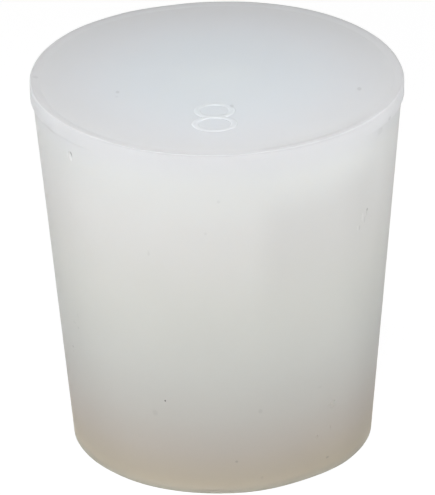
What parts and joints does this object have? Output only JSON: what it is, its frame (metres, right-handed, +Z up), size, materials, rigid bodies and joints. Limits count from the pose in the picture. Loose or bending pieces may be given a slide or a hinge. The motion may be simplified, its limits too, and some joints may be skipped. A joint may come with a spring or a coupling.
{
  "type": "rubber stopper",
  "caption": "Solid tapered stopper of soft translucent rubber, with a narrow raised rim at its wide end, for closing the neck of a flask, bottle or tube.",
  "frame": {"origin": "centre of the narrow end face, which the stopper stands on", "axes": "+Z up along the stopper's axis, from the narrow end to the wide end; the size numeral on the wide end reads the right way up when +Y is up the page"},
  "size_m": [0.028, 0.028, 0.0294],
  "materials": {
    "translucent_rubber": "satin, milky and translucent"
  },
  "bodies": {
    "root": {"stopper": "translucent_rubber"}
  },
  "joints": []
}
